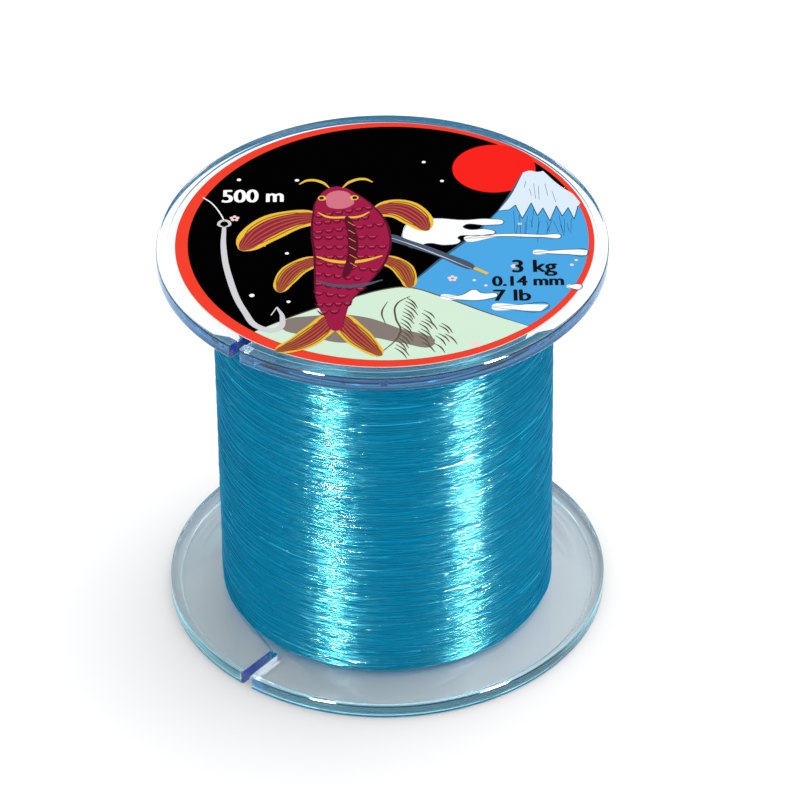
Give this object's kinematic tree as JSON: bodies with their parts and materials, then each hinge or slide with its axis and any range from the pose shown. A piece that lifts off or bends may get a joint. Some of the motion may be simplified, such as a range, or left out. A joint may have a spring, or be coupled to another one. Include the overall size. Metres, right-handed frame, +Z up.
{
  "type": "fishing line spool",
  "caption": "Clear two-part plastic spool wound with blue nylon fishing line, with slits that catch the line's end and a round printed label.",
  "frame": {"origin": "centre of the lower flange's rim, on the plane that the spool stands on", "axes": "+Z up along the spool's axis, towards the label; -Y towards the front, where the label's print reads upright"},
  "size_m": [0.066, 0.066, 0.0629],
  "materials": {
    "clear_plastic": "clear, polished",
    "blue_line": "glossy drawn nylon",
    "tape": "matt film",
    "printed_label": "printed film, semi-gloss"
  },
  "bodies": {
    "root": {"spool_lower_half": "clear_plastic", "spool_upper_half": "clear_plastic", "wound_line": "blue_line", "line_free_end": "blue_line", "line_start_tape": "tape", "top_label": "printed_label"}
  },
  "joints": []
}
